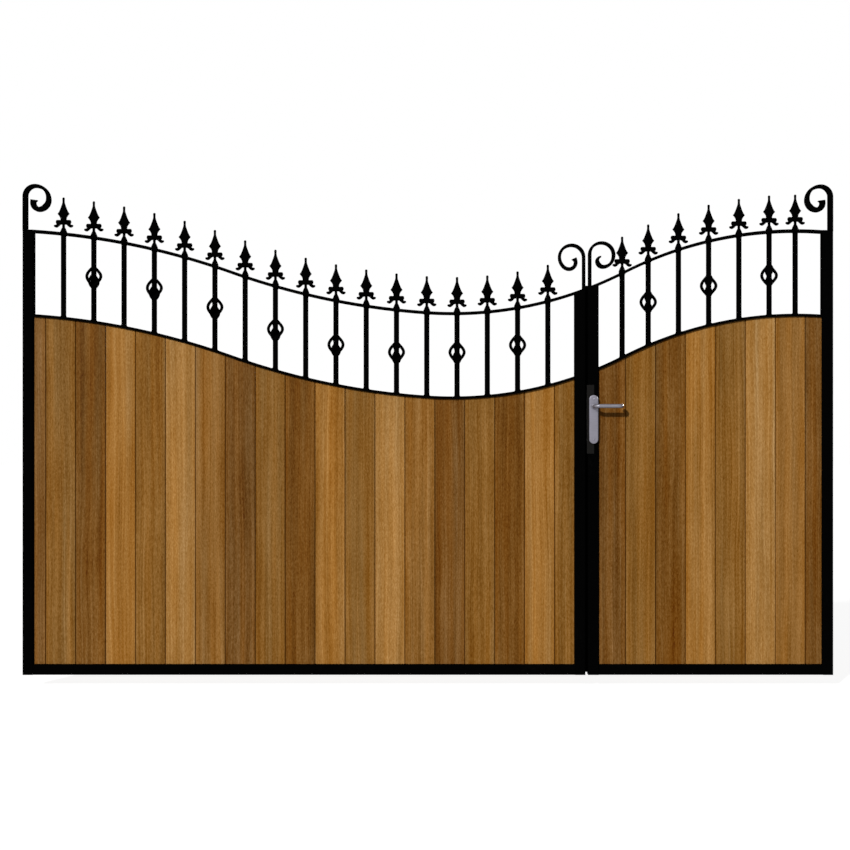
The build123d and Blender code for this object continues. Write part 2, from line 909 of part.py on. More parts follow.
def bolt_guides():
    """Blocks on the stile that the bolt slides in."""
    x, y = bolt_place()
    depth = bolt_standoff + bolt_diameter / 2 + guide_wall
    with BuildPart() as guides:
        for height in (lower_guide_height, lower_guide_height + guide_spacing):
            with BuildSketch(Plane.XY.offset(foot_z + height)):
                with Locations((x, back_seat() + depth / 2)):
                    Rectangle(guide_width, depth)
                with Locations((x, y)):
                    Circle(bolt_diameter / 2 + bolt_clearance, mode=Mode.SUBTRACT)
            extrude(amount=guide_height)
    return guides


os.makedirs("parts", exist_ok=True)

for leaf in (left_leaf, right_leaf):
    for level, name in zip(hinge_levels(), ("lower", "upper")):
        save(wall_plate(leaf, level), f"{leaf.name}_{name}_wall_plate")
    save(hinge_lugs(leaf), f"{leaf.name}_hinge_lugs")
    save(hinge_pins(leaf), f"{leaf.name}_hinge_pins")
    save(hinge_eyes(leaf), f"{leaf.name}_hinge_eyes")
    save(hanging_stile(leaf), f"{leaf.name}_hanging_stile")
    save(meeting_stile(leaf), f"{leaf.name}_meeting_stile")
    save(bottom_rail(leaf), f"{leaf.name}_bottom_rail")
    save(swept_rail(leaf.top_run, 0), f"{leaf.name}_top_rail")
    save(swept_rail(leaf.opening, rail_drop), f"{leaf.name}_panel_rail")
    save(stile_caps(leaf), f"{leaf.name}_stile_caps")
    save(timber_panel(leaf), f"{leaf.name}_timber_panel")
    save(panel_beads(leaf), f"{leaf.name}_panel_beads")
    save(bars(leaf), f"{leaf.name}_bars")
    save(baskets(leaf), f"{leaf.name}_baskets")
    save(railheads(leaf), f"{leaf.name}_railheads")
    save(scrolls(leaf), f"{leaf.name}_scrolls")

save(lock_cover_plate(), "lock_cover_plate")
save(lock_forend(), "lock_forend")
save(lock_keep(), "lock_keep")
save(meeting_strip(), "meeting_strip")
save(handle_plate(-1, front_seat()), "front_handle_plate")
save(handle_plate(1, back_seat()), "back_handle_plate")
save(lever(-1, front_seat()), "front_lever")
save(lever(1, back_seat()), "back_lever")
save(lever_spindle(), "lever_spindle")
save(drop_bolt(), "drop_bolt")
save(bolt_guides(), "drop_bolt_guides")
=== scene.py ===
"""Looks of a pair of unequal driveway gates: black steel frames, hardwood boards, bars, baskets and railheads."""
import json
from math import radians

import bmesh
import bpy
import numpy as np
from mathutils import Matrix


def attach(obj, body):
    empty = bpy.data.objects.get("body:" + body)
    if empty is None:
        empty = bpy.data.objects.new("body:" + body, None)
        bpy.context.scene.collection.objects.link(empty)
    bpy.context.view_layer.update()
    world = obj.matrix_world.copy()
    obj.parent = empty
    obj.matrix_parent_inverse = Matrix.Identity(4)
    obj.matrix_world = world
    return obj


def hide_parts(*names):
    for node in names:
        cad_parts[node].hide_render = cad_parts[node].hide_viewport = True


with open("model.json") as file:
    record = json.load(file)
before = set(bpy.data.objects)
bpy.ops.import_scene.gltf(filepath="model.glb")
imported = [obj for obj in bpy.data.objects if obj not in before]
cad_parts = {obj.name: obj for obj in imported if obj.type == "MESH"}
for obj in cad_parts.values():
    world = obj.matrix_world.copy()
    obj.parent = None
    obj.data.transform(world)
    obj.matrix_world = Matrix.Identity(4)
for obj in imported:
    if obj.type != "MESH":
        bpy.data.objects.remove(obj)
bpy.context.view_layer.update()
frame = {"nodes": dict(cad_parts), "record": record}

# Sizes are in millimetres and angles in degrees, in the gate's own frame
MM = 0.001
SHARP_EDGE = 38.0

# Frame and sweep
FOOT = -220.0
FRAME_Y = -91.0
LOW_POINT = (1629.3, FOOT + 1359.5)
LEFT_RADIUS = 2757.0
RIGHT_RADIUS = 1423.0
JOIN_REACH = 94.3
LEFT_TURN_REACH = 834.9
RIGHT_TURN_REACH = 646.8
LEFT_OPENING = (52.0, 2088.5)
RIGHT_OPENING = (2178.5, 3020.0)

# Swept rails
RAIL_HALF = 5.0
RAIL_DEPTH = 40.0
RAIL_CORNER = 1.6
RAIL_STEP = 12.0
RAIL_DROP = 317.4
LEFT_TOP_RUN = (52.0, 2128.5)
RIGHT_TOP_RUN = (2138.5, 3020.0)

# Boards
BOARD_COVER = 112.7
LEFT_FIRST_JOINT = 45.5
RIGHT_FIRST_JOINT = 102.4
LEAST_BOARD = 30.0
MOST_JOINTS = 40
BOARD_LAP = 0.1
BOARD_FRONT = -101.0
BOARD_BACK = -81.0
BOARD_FOOT = FOOT + 40.0
BOARD_STAND = 0.5
BOARD_SHARP = 30.0
FACE_POINTS = 9
CHAMFER = 2.4
CHAMFER_DEPTH = 3.0
CHAMFER_EASE = 0.3

# Bars and their welds
BAR_RADIUS = 10.0
BAR_SIDES = 32
LEFT_BARS = np.concatenate([[162.3], np.linspace(276.4, 1874.4, 15), [1988.5]])
RIGHT_BARS = np.concatenate([[2268.7], np.linspace(2367.05, 2822.85, 5), [2921.2]])
WELD_SIDES = 48
WELD_BEADS = 11
WELD_RIPPLE = 0.12

# Baskets: their middles as shares of the drop between the rails, then their rods
LEFT_BASKET_SHARES = np.array([0.487, 0.486, 0.509, 0.534, 0.545, 0.522, 0.480, 0.459])
RIGHT_BASKET_SHARES = np.array([0.503, 0.543, 0.529])
BASKET_HEIGHT = 75.0
BASKET_NECK = 5.0
BASKET_BULGE = 22.0
BASKET_BULGE_POWER = 0.94
BASKET_START = -8.4
BASKET_TWIST = -110.0
BASKET_ROD = 5.75
BASKET_ROD_SIDES = 14
BASKET_SHARP = 60.0

# Railheads
HEAD_SIDES = 24
HEAD_SHARP = 50.0
BLADE_POWER = 1.35
CURL_HALF = 5.5
CURL_ROLL = 2.2
CURL_GROWTH = 0.9
CURL_ROWS = 9

# Scrolls
STEM_POINTS = 6
STEM_SINK = 4.0
BEND_POINTS = 12
SCROLL_CORNER = 1.5

# Lever lock
SPINDLE_X = 2158.5
LEVER_Z = 790.0
FRONT_SEAT = -114.0
BACK_SEAT = -71.0
PLATE_LOW = LEVER_Z - 141.0
PLATE_HIGH = LEVER_Z + 42.0
PLATE_HALF = 17.0
PLATE_THICK = 8.0
PLATE_EDGE = 2.6
SCREW_INSET = 16.0
SCREW_RADIUS = 4.0
SCREW_HEIGHT = 1.6
SCREW_SIDES = 16
LEVER_RADIUS = 7.4
LEVER_ROOT = 8.4
LEVER_STAND = 51.5
LEVER_REACH = 101.0
LEVER_RETURN = 18.0
LEVER_BENDS = (16.0, 14.0)
LEVER_EASE = 7.0
LEVER_ROWS = 61
LEVER_SIDES = 24
HUB_SIDES = 32

# Floor and colours
FLOOR_DROP = 50.0
FLOOR_GREY = 0.3
FLOOR_GLOW = 0.83
WHITE = (1.0, 1.0, 1.0, 1.0)
SCREEN_GAMMA = 2.2


# The sweep of the rails

def sweep_arcs():
    """Centres, radii, bulges and ends of the four tangent arcs: two valleys that meet beside the low point, and the
    two crests that turn out of them, each crest's centre mirrored through the point where it leaves its valley."""
    low = np.array(LOW_POINT)
    right_valley = low + (0.0, RIGHT_RADIUS)
    join_x = low[0] - JOIN_REACH
    join = np.array([join_x, right_valley[1] - np.sqrt(RIGHT_RADIUS**2 - JOIN_REACH**2)])
    left_valley = join + (right_valley - join) * LEFT_RADIUS / RIGHT_RADIUS
    left_x = low[0] - LEFT_TURN_REACH
    left_turn = np.array([left_x, left_valley[1] - np.sqrt(LEFT_RADIUS**2 - (left_x - left_valley[0])**2)])
    right_x = low[0] + RIGHT_TURN_REACH
    right_turn = np.array([right_x, right_valley[1] - np.sqrt(RIGHT_RADIUS**2 - RIGHT_TURN_REACH**2)])
    centres = np.array([2 * left_turn - left_valley, left_valley, right_valley, 2 * right_turn - right_valley])
    radii = np.array([LEFT_RADIUS, LEFT_RADIUS, RIGHT_RADIUS, RIGHT_RADIUS])
    bulges = np.array([1.0, -1.0, -1.0, 1.0])
    ends = np.array([left_turn[0], join[0], right_turn[0]])
    return centres, radii, bulges, ends


CENTRES, RADII, BULGES, ENDS = sweep_arcs()


def sweep(x, rise=0.0):
    """Height of the curve that runs a given distance square above the sweep: the arc's centre plus or minus the root
    of the changed radius squared less the distance across squared."""
    x, rise = np.broadcast_arrays(np.asarray(x, float), np.asarray(rise, float))
    ends = [ENDS[i] + (ENDS[i] - CENTRES[i, 0]) * BULGES[i] * rise / RADII[i] for i in range(len(ENDS))]
    which = sum((x > end).astype(int) for end in ends)
    reach = RADII[which] + BULGES[which] * rise
    return CENTRES[which, 1] + BULGES[which] * np.sqrt(reach**2 - (x - CENTRES[which, 0])**2)


# Surfaces as grids of points

def quads(rows, columns, rows_wrap=False):
    """Corner numbers of a grid's quads, each from a point to the next along its row and on the next row; rows always
    close on themselves, and the last row joins the first where rows_wrap says so."""
    row = np.arange(rows if rows_wrap else rows - 1)[:, None]
    column = np.arange(columns)[None, :]
    beside = (column + 1) % columns
    after = (row + 1) % rows
    corners = [row * columns + column, row * columns + beside, after * columns + beside, after * columns + column]
    return np.stack(corners, axis=-1).reshape(-1, 4)


def shells(grids, rows_wrap=False, capped=True):
    """Shells from grids of points (copies, rows, columns, 3): their points, and lists of faces as quads between the
    rows and a flat cap over the first and the last row, unless the rows wrap round or the caps come from elsewhere."""
    copies, rows, columns, _ = grids.shape
    start = (np.arange(copies) * rows * columns)[:, None]
    faces = [(start[:, :, None] + quads(rows, columns, rows_wrap)[None]).reshape(-1, 4)]
    if capped and not rows_wrap:
        loop = np.arange(columns)[None, :]
        faces.append(np.concatenate([start + loop[:, ::-1], start + (rows - 1) * columns + loop]))
    return grids.reshape(-1, 3), faces


def frames(path, hint):
    """Two directions square to a path at each of its points: the path's run crossed with the hint, and that crossed
    with the run again."""
    run = np.gradient(path, axis=-2)
    run /= np.linalg.norm(run, axis=-1, keepdims=True)
    side = np.cross(run, np.broadcast_to(hint, run.shape))
    side /= np.linalg.norm(side, axis=-1, keepdims=True)
    return side, np.cross(side, run)


def carried(path, hint, section):
    """A section carried along a path: each path point plus the section's first number along one square direction and
    its second number along the other."""
    side, up = frames(path, hint)
    section = np.broadcast_to(section, path.shape[:-1] + section.shape[-2:])
    return (
        path[..., None, :]
        + section[..., 0:1] * side[..., None, :]
        + section[..., 1:2] * up[..., None, :]
    )


def ring(count, power=1.0):
    """A closed loop of unit size: cosine and sine of an even turn, each raised to a power that keeps its sign, so a
    power over one gives a soft diamond and under one a soft square."""
    turn = 2 * np.pi * np.arange(count) / count
    loop = np.stack([np.cos(turn), np.sin(turn)], axis=-1)
    return np.sign(loop) * np.abs(loop)**power


def soft_box(width, depth, radius, steps=5):
    """A rectangle's loop with rounded corners: quarter turns about four inset centres, with a close neighbour on each
    straight so that the flats stay flat when shaded."""
    turn = np.linspace(0, np.pi / 2, steps)
    quarter = radius * np.stack([np.cos(turn), np.sin(turn)], axis=-1)
    near = 0.25 * radius
    quarter = np.concatenate([quarter[:1] - (0, near), quarter, quarter[-1:] - (near, 0)])
    corner = np.array([width / 2 - radius, depth / 2 - radius])
    turns = np.array([[[1, 0], [0, 1]], [[0, -1], [1, 0]], [[-1, 0], [0, -1]], [[0, 1], [-1, 0]]], float)
    signs = np.array([[1, 1], [-1, 1], [-1, -1], [1, -1]], float)
    return np.concatenate([quarter @ turns[i].T + corner * signs[i] for i in range(4)])


def turned(profile, count):
    """A turned shape about an upright axis: each radius and height of the profile taken once round."""
    loop = ring(count)
    points = np.empty((len(profile), count, 3))
    points[..., :2] = profile[:, None, :1] * loop[None]
    points[..., 2] = profile[:, None, 1]
    return points


def placed(points, places):
    """Copies of one grid of points, moved to each of the given places."""
    return points[None] + np.asarray(places, float).reshape(-1, 1, 1, 3)


def bent_line(corners, bends, steps):
    """A path through corners whose turns are arcs: at each inner corner the arc's middle lies on the bisector, and
    the arc runs between the two points where it touches the straights."""
    corners = np.asarray(corners, float)
    spans = [corners[:1]]
    for i in range(1, len(corners) - 1):
        before = corners[i - 1] - corners[i]
        after = corners[i + 1] - corners[i]
        before /= np.linalg.norm(before)
        after /= np.linalg.norm(after)
        half = np.arccos(np.clip(before @ after, -1, 1)) / 2
        middle = corners[i] + (before + after) / np.linalg.norm(before + after) * bends[i - 1] / np.sin(half)
        start = corners[i] + before * bends[i - 1] / np.tan(half) - middle
        stop = corners[i] + after * bends[i - 1] / np.tan(half) - middle
        arc_turn = np.pi - 2 * half
        share = np.linspace(0, 1, steps)[:, None]
        arc = np.sin((1 - share) * arc_turn) * start + np.sin(share * arc_turn) * stop
        spans.append(middle + arc / np.sin(arc_turn))
    spans.append(corners[-1:])
    return np.concatenate(spans)


def bent_round(start, heading, way, bends):
    """A scroll's line: arcs of given radius and turn one after another, each tangent to the one before, all turned to
    the given way."""
    spans, point = [], np.asarray(start, float)
    for radius, turn in bends:
        share = np.linspace(0, radians(turn), BEND_POINTS)[1:, None]
        along = np.array([np.cos(heading), np.sin(heading)])
        across = way * np.array([-along[1], along[0]])
        spans.append(point + radius * np.sin(share) * along + radius * (1 - np.cos(share)) * across)
        point = spans[-1][-1]
        heading += way * radians(turn)
    return np.concatenate(spans)


def in_scene(name, data):
    """A new object that holds the data and is part of the scene."""
    made = bpy.data.objects.new(name, data)
    bpy.context.scene.collection.objects.link(made)
    return made


def piece(name, parts, body, material, replaces, sharp=SHARP_EDGE, marks=None):
    """One mesh from several lists of points and faces, in metres, shaded smooth up to a given edge angle, with marks
    that its material reads at each point."""
    points, faces, start = [], [], 0
    for part_points, part_faces in parts:
        points.append(part_points)
        for corners in part_faces:
            faces += (corners + start).tolist()
        start += len(part_points)
    mesh = bpy.data.meshes.new(name)
    mesh.from_pydata((np.concatenate(points) * MM).tolist(), [], faces)
    for mark, values in (marks or {}).items():
        kind, field = ("FLOAT_COLOR", "color") if values.ndim == 2 else ("FLOAT", "value")
        layer = mesh.attributes.new(mark, kind, "POINT")
        layer.data.foreach_set(field, values.astype(np.float32).ravel())
    outward = bmesh.new()
    outward.from_mesh(mesh)
    bmesh.ops.recalc_face_normals(outward, faces=outward.faces)
    outward.to_mesh(mesh)
    outward.free()
    mesh.polygons.foreach_set("use_smooth", np.ones(len(mesh.polygons), bool))
    mesh.set_sharp_from_angle(angle=radians(sharp))
    mesh.materials.append(material)
    made = in_scene(name, mesh)
    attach(made, body)
    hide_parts(*replaces)


# Materials

def linear(red, green, blue):
    """A screen colour, 0 to 255, as linear light."""
    screen = np.array([red, green, blue]) / 255.0
    light = np.where(screen <= 0.04045, screen / 12.92, ((screen + 0.055) / 1.055)**2.4)
    return tuple(light.tolist()) + (1.0,)


class Nodes:
    """Fills a node tree: each call makes a node, sets its options, and links or sets its inputs by name or number."""

    def __init__(self, tree):
        self.tree = tree

    def __call__(self, kind, inputs=None, **options):
        made = self.tree.nodes.new("ShaderNode" + kind)
        for option, value in options.items():
            setattr(made, option, value)
        self.fill(made, inputs or {})
        return made

    def fill(self, node, inputs):
        """Feeds a node's inputs, each by a link from another node's output or with a plain value."""
        for key, value in inputs.items():
            if isinstance(value, bpy.types.NodeSocket):
                self.tree.links.new(value, node.inputs[key])
            else:
                node.inputs[key].default_value = value

    def math(self, operation, first, second):
        """One sum on two numbers."""
        return self("Math", {0: first, 1: second}, operation=operation).outputs[0]

    def mix(self, share, first, second, blend="MIX"):
        """Two colours blended; a mix node's colours are its inputs 6 and 7 and its output 2."""
        inputs = {"Factor": share, 6: first, 7: second}
        return self("Mix", inputs, data_type="RGBA", blend_type=blend).outputs[2]

    def spread(self, value, low, high, to_low=0.0, to_high=1.0):
        """A number's range from low to high laid over another range, held at its ends."""
        inputs = {"Value": value, "From Min": low, "From Max": high, "To Min": to_low, "To Max": to_high}
        return self("MapRange", inputs).outputs["Result"]

    def noise(self, vector, scale, detail, roughness=0.5):
        """A cloudy number from nothing to one."""
        inputs = {"Vector": vector, "Scale": scale, "Detail": detail, "Roughness": roughness}
        return self("TexNoise", inputs).outputs[0]

    def stretch(self, vector, scale):
        """A place scaled by three numbers."""
        return self("Mapping", {"Vector": vector, "Scale": scale}).outputs["Vector"]

    def moved(self, vector, x, y=0.0, z=0.0):
        """A place moved by three numbers."""
        step = self("CombineXYZ", {0: x, 1: y, 2: z}).outputs[0]
        return self("VectorMath", {0: vector, 1: step}, operation="ADD").outputs[0]


def group(name, inputs, outputs):
    """An empty node group with named number or vector inputs and number outputs."""
    tree = bpy.data.node_groups.new(name, "ShaderNodeTree")
    for label, kind, value in inputs:
        socket = tree.interface.new_socket(label, in_out="INPUT", socket_type=kind)
        if value is not None:
            socket.default_value = value
    for label in outputs:
        tree.interface.new_socket(label, in_out="OUTPUT", socket_type="NodeSocketFloat")
    return tree, Nodes(tree), tree.nodes.new("NodeGroupInput").outputs, tree.nodes.new("NodeGroupOutput")


def coat_texture():
    """Sprayed coat: a fine pebbled height, a broad cloud of gloss, and sparse specks of dust."""
    tree, nodes, given, out = group(
        "coat_texture",
        [("Vector", "NodeSocketVector", None), ("Pebble size", "NodeSocketFloat", 900.0)],
        ["Height", "Cloud", "Dust"])
    cloud = nodes.noise(given["Vector"], scale=5.0, detail=4.0, roughness=0.6)
    specks = nodes.noise(given["Vector"], scale=160.0, detail=3.0, roughness=0.65)
    nodes.fill(out, {
        "Height": nodes.noise(given["Vector"], given["Pebble size"], detail=1.0),
        "Cloud": cloud,
        "Dust": nodes.spread(nodes.math("MULTIPLY", specks, cloud), 0.30, 0.46),
    })
    return tree


def brushed_lines():
    """Brushed metal: long thin scratches, from noise stretched by the given scale, and broad smudges."""
    tree, nodes, given, out = group(
        "brushed_lines",
        [("Vector", "NodeSocketVector", None), ("Stretch", "NodeSocketVector", None)],
        ["Lines", "Smudge"])
    scaled = nodes("VectorMath", {0: given["Vector"], 1: given["Stretch"]}, operation="MULTIPLY").outputs[0]
    nodes.fill(out, {
        "Lines": nodes.noise(scaled, scale=1.0, detail=3.0, roughness=0.6),
        "Smudge": nodes.noise(given["Vector"], scale=38.0, detail=3.0, roughness=0.55),
    })
    return tree


COAT_TEXTURE = coat_texture()
BRUSHED_LINES = brushed_lines()


def material(name):
    """A new material: its nodes, its shader and the place on the object."""
    made = bpy.data.materials.new(name)
    made.use_nodes = True
    made.node_tree.nodes.clear()
    nodes = Nodes(made.node_tree)
    shader = nodes("BsdfPrincipled")
    nodes("OutputMaterial", {"Surface": shader.outputs["BSDF"]})
    return made, nodes, shader, nodes("TexCoord").outputs["Object"]


def coat(name, dark, dusty, roughness, gloss):
    """A sprayed coat between its own colour and a dusty one, pebbled, with its gloss a little uneven."""
    made, nodes, shader, place = material(name)
    texture = nodes("Group", {"Vector": place}, node_tree=COAT_TEXTURE).outputs
    bump = nodes("Bump", {"Height": texture["Height"], "Strength": 0.12, "Distance": 0.0004})
    nodes.fill(shader, {
        "Base Color": nodes.mix(nodes.math("MULTIPLY", texture["Dust"], 0.5), dark, dusty),
        "Roughness": nodes.spread(texture["Cloud"], 0.3, 0.7, roughness - 0.06, roughness + 0.1),
        "Specular IOR Level": gloss,
        "Normal": bump.outputs["Normal"],
    })
    return made


def metal(name, pale, dark, stretch, roughness, metallic):
    """A brushed metal: fine lines in its colour and gloss, smudged by handling."""
    made, nodes, shader, place = material(name)
    texture = nodes("Group", {"Vector": place, "Stretch": stretch}, node_tree=BRUSHED_LINES).outputs
    lines = nodes.spread(texture["Lines"], 0.25, 0.75)
    smudge = nodes.spread(texture["Smudge"], 0.3, 0.7, -0.05, 0.08)
    bump = nodes("Bump", {"Height": lines, "Strength": 0.08, "Distance": 0.0002})
    nodes.fill(shader, {
        "Base Color": nodes.mix(lines, dark, pale),
        "Metallic": metallic,
        "Roughness": nodes.math("ADD", smudge, nodes.spread(lines, 0.0, 1.0, roughness + 0.05, roughness - 0.05)),
        "Normal": bump.outputs["Normal"],
    })
    return made


def boards_wood():
    """Oiled hardwood: each board's own tone, kept as a screen value, plus long streaks, broad bands, short flecks and
    slow patches that lighten or darken all three colours alike, and a slow drift to warm or cool; then brought to
    linear light, darkened in the joints by painted shade, with short pores that sink in."""
    made, nodes, shader, place = material("hardwood")

    def grain(vector, across, along, detail, roughness=0.5):
        """Noise with so many waves to the metre across the board and along it."""
        return nodes.noise(nodes.stretch(vector, (across, across, along)), 1.0, detail, roughness)

    tone = nodes("Attribute", attribute_name="tone").outputs["Color"]
    seed = nodes("Attribute", attribute_name="seed").outputs["Fac"]
    joint = nodes("Attribute", attribute_name="joint").outputs["Fac"]
    own = nodes.moved(place, nodes.math("MULTIPLY", seed, 7.3), seed, seed)
    wander = grain(own, 6.0, 1.6, 2.0)
    bent = nodes.moved(own, nodes.math("MULTIPLY", wander, 0.035))
    streaks = grain(bent, 170.0, 1.1, 2.0, 0.55)
    bands = grain(bent, 38.0, 0.9, 1.0)
    flecks = grain(bent, 280.0, 100.0, 2.0, 0.6)
    patches = grain(own, 13.0, 4.0, 2.0, 0.55)
    warmth = grain(own, 32.0, 1.0, 2.0)
    pores = nodes.spread(grain(bent, 420.0, 55.0, 2.0), 0.60, 0.72)

    light = 0.0
    for layer, swing in ((streaks, 0.11), (bands, 0.09), (flecks, 0.12), (patches, 0.05)):
        light = nodes.math("ADD", light, nodes.spread(layer, 0.0, 1.0, -swing, swing))
    light = nodes.math("SUBTRACT", light, nodes.math("MULTIPLY", pores, 0.07))
    warm = nodes.spread(warmth, 0.0, 1.0, -0.045, 0.045)
    shift = nodes("CombineColor", {
        0: nodes.math("ADD", light, warm), 1: light, 2: nodes.math("SUBTRACT", light, warm)}).outputs[0]
    wood = nodes("Gamma", {"Color": nodes.mix(1.0, tone, shift, "ADD"), "Gamma": SCREEN_GAMMA}).outputs[0]
    # painted shade: the colour in the joints is darkened, standing in for the shade that falls in the grooves between
    # boards
    painted_joint_shade = nodes.mix(joint, WHITE, (0.17, 0.11, 0.055, 1.0))
    height = nodes.math("SUBTRACT", nodes.math("MULTIPLY", flecks, 0.6), nodes.math("MULTIPLY", pores, 0.5))
    bump = nodes("Bump", {"Height": height, "Strength": 0.3, "Distance": 0.0006})
    nodes.fill(shader, {
        "Base Color": nodes.mix(1.0, wood, painted_joint_shade, "MULTIPLY"),
        "Roughness": nodes.spread(streaks, 0.3, 0.7, 0.5, 0.62),
        "Specular IOR Level": 0.05,
        "Normal": bump.outputs["Normal"],
    })
    return made


BLACK_COAT = coat(
    "black_coat", dark=(0.0011, 0.0011, 0.0011, 1.0), dusty=(0.004, 0.0039, 0.0038, 1.0), roughness=0.5, gloss=0.0)
GREY_COAT = coat(
    "grey_coat", dark=(0.0085, 0.0080, 0.0074, 1.0), dusty=(0.0125, 0.012, 0.0112, 1.0), roughness=0.55, gloss=0.03)
SATIN_STEEL = metal(
    "satin_steel", pale=linear(136, 134, 144), dark=linear(119, 117, 126), stretch=(30.0, 30.0, 1400.0),
    roughness=0.36, metallic=0.75)
LEVER_STEEL = metal(
    "lever_steel", pale=linear(134, 132, 141), dark=linear(114, 112, 120), stretch=(1400.0, 30.0, 30.0),
    roughness=0.38, metallic=0.5)
ZINC_STEEL = metal(
    "zinc_steel", pale=linear(150, 150, 149), dark=linear(122, 122, 121), stretch=(60.0, 60.0, 60.0),
    roughness=0.42, metallic=0.9)
HARDWOOD = boards_wood()

# the plain pieces take the finish of their slot
finishes = {
    "black_coat": BLACK_COAT, "grey_coat": GREY_COAT, "hardwood": HARDWOOD,
    "satin_steel": SATIN_STEEL, "zinc_steel": ZINC_STEEL,
}
for subpart in frame["record"]["subparts"]:
    node = frame["nodes"][subpart["node"]]
    for place in node.material_slots:
        place.material = finishes[subpart["material_slot"]]


def ironwork(side, name, parts, node, sharp=SHARP_EDGE):
    """A black piece that rides on a leaf in place of one of its nodes."""
    piece(f"{side}_{name}", parts, f"{side}_leaf", BLACK_COAT, [f"{side}_{node}"], sharp)


# Boards

TONES = {
    "mid": (131, 90, 37), "dark": (113, 73, 24), "light": (154, 107, 48), "pale": (160, 116, 60),
    "warm": (139, 96, 43), "reddish": (114, 75, 29), "brown": (125, 84, 36),
}
TONE_ORDER = ("mid", "dark", "light", "mid", "pale", "warm", "reddish")


def end_quads(count, rows, columns):
    """Quads over both ends of each board: every point of the front joined to the matching point of the back."""
    step = np.arange(columns // 2 - 1)
    across = np.stack([step, step + 1, columns - 2 - step, columns - 1 - step], axis=-1)
    start = (np.arange(count) * rows * columns)[:, None, None]
    last = start + (rows - 1) * columns
    return np.concatenate([(start + across).reshape(-1, 4), (last + across).reshape(-1, 4)])


def boards(side, opening, first_joint, first_tone, seed_start):
    """Tongued boards: each board's loop of front, two chamfered edges and back, drawn from the bottom rail up to the
    rail's underside, whose height follows the sweep at each point of the loop. Each board keeps a tone, a seed for
    its grain, and a mark that is one at the bottom of a joint and nothing on the face, where the wood paints shade
    into the joints."""
    joints = opening[0] + first_joint + BOARD_COVER * np.arange(MOST_JOINTS)
    joints = joints[joints < opening[1] - LEAST_BOARD]
    left = np.concatenate([[opening[0]], joints])[:, None] - BOARD_LAP
    right = np.concatenate([joints, [opening[1]]])[:, None] + BOARD_LAP

    # the front from left to right: joint, chamfer, face, chamfer, joint
    face = np.linspace(0, 1, FACE_POINTS)
    flat = np.zeros(FACE_POINTS)
    share = np.concatenate([[0.0, 0.0], face, [1.0, 1.0]])
    inset = np.concatenate([[0.0, 0.8 * CHAMFER], CHAMFER + CHAMFER_EASE + flat, [0.8 * CHAMFER, 0.0]])
    setback = CHAMFER_DEPTH * np.concatenate([[1.0, 0.35], flat, [0.35, 1.0]])
    mark = np.concatenate([[1.0, 0.25], flat, [0.25, 1.0]])
    front_x = left + inset + share * (right - left - 2 * inset)
    loop_x = np.concatenate([front_x, front_x[:, ::-1]], axis=1)
    loop_y = np.concatenate([BOARD_FRONT + setback, BOARD_BACK - setback[::-1]])
    loop_mark = np.concatenate([mark, mark[::-1]])

    count, columns = loop_x.shape
    number = np.arange(count)
    stand = BOARD_STAND * np.sin(2.3 * number + seed_start)
    rows = np.linspace(0, 1, 4)
    top = sweep(loop_x, -RAIL_HALF + BOARD_LAP) - RAIL_DROP
    points = np.empty((count, len(rows), columns, 3))
    points[..., 0] = loop_x[:, None, :]
    points[..., 1] = loop_y[None, None, :] + stand[:, None, None]
    points[..., 2] = BOARD_FOOT + rows[None, :, None] * (top - BOARD_FOOT)[:, None, :]

    order = [first_tone] + [TONE_ORDER[i % len(TONE_ORDER)] for i in range(count - 1)]
    tones = np.array([linear(*TONES[key]) for key in order])**(1 / SCREEN_GAMMA)
    marks = {
        "tone": np.broadcast_to(tones[:, None, None, :], points.shape[:3] + (4,)).reshape(-1, 4),
        "seed": np.broadcast_to((seed_start + number)[:, None, None], points.shape[:3]).ravel(),
        # the joint mark is where the wood paints shade into the grooves
        "joint": np.broadcast_to(loop_mark[None, None, :], points.shape[:3]).ravel(),
    }
    places, faces = shells(points, capped=False)
    faces.append(end_quads(count, len(rows), columns))
    piece(f"{side}_boards", [(places, faces)], f"{side}_leaf", HARDWOOD, [f"{side}_timber_panel"],
          BOARD_SHARP, marks)


boards("left", LEFT_OPENING, LEFT_FIRST_JOINT, "brown", 1.0)
boards("right", RIGHT_OPENING, RIGHT_FIRST_JOINT, "reddish", 31.0)


# Swept rails

def swept_rail(run, drop):
    """A flat bar on the sweep: a soft rectangle whose first number goes back and whose second rises square to the
    sweep, carried across at even steps, so both ends are upright."""
    section = soft_box(RAIL_DEPTH, 2 * RAIL_HALF, RAIL_CORNER)
    x = np.linspace(run[0], run[1], int((run[1] - run[0]) / RAIL_STEP))
    points = np.empty((1, len(x), len(section), 3))
    points[0, ..., 0] = x[:, None]
    points[0, ..., 1] = FRAME_Y + section[None, :, 0]
    points[0, ..., 2] = sweep(x[:, None], section[None, :, 1]) - drop
    return shells(points)


for side, top_run, opening in (("left", LEFT_TOP_RUN, LEFT_OPENING), ("right", RIGHT_TOP_RUN, RIGHT_OPENING)):
    ironwork(side, "top_bar", [swept_rail(top_run, 0.0)], "top_rail")
    ironwork(side, "panel_bar", [swept_rail(opening, RAIL_DROP)], "panel_rail")


# Bars and their welds

def round_bars(x):
    """Round bars: a circle taken from the middle of the lower rail to the middle of the upper one."""
    loop = BAR_RADIUS * ring(BAR_SIDES)
    points = np.empty((len(x), 2, BAR_SIDES, 3))
    points[..., 0] = x[:, None, None] + loop[None, None, :, 0]
    points[..., 1] = FRAME_Y + loop[None, None, :, 1]
    points[:, 0, :, 2] = (sweep(x) - RAIL_DROP)[:, None]
    points[:, 1, :, 2] = sweep(x)[:, None]
    return shells(points)


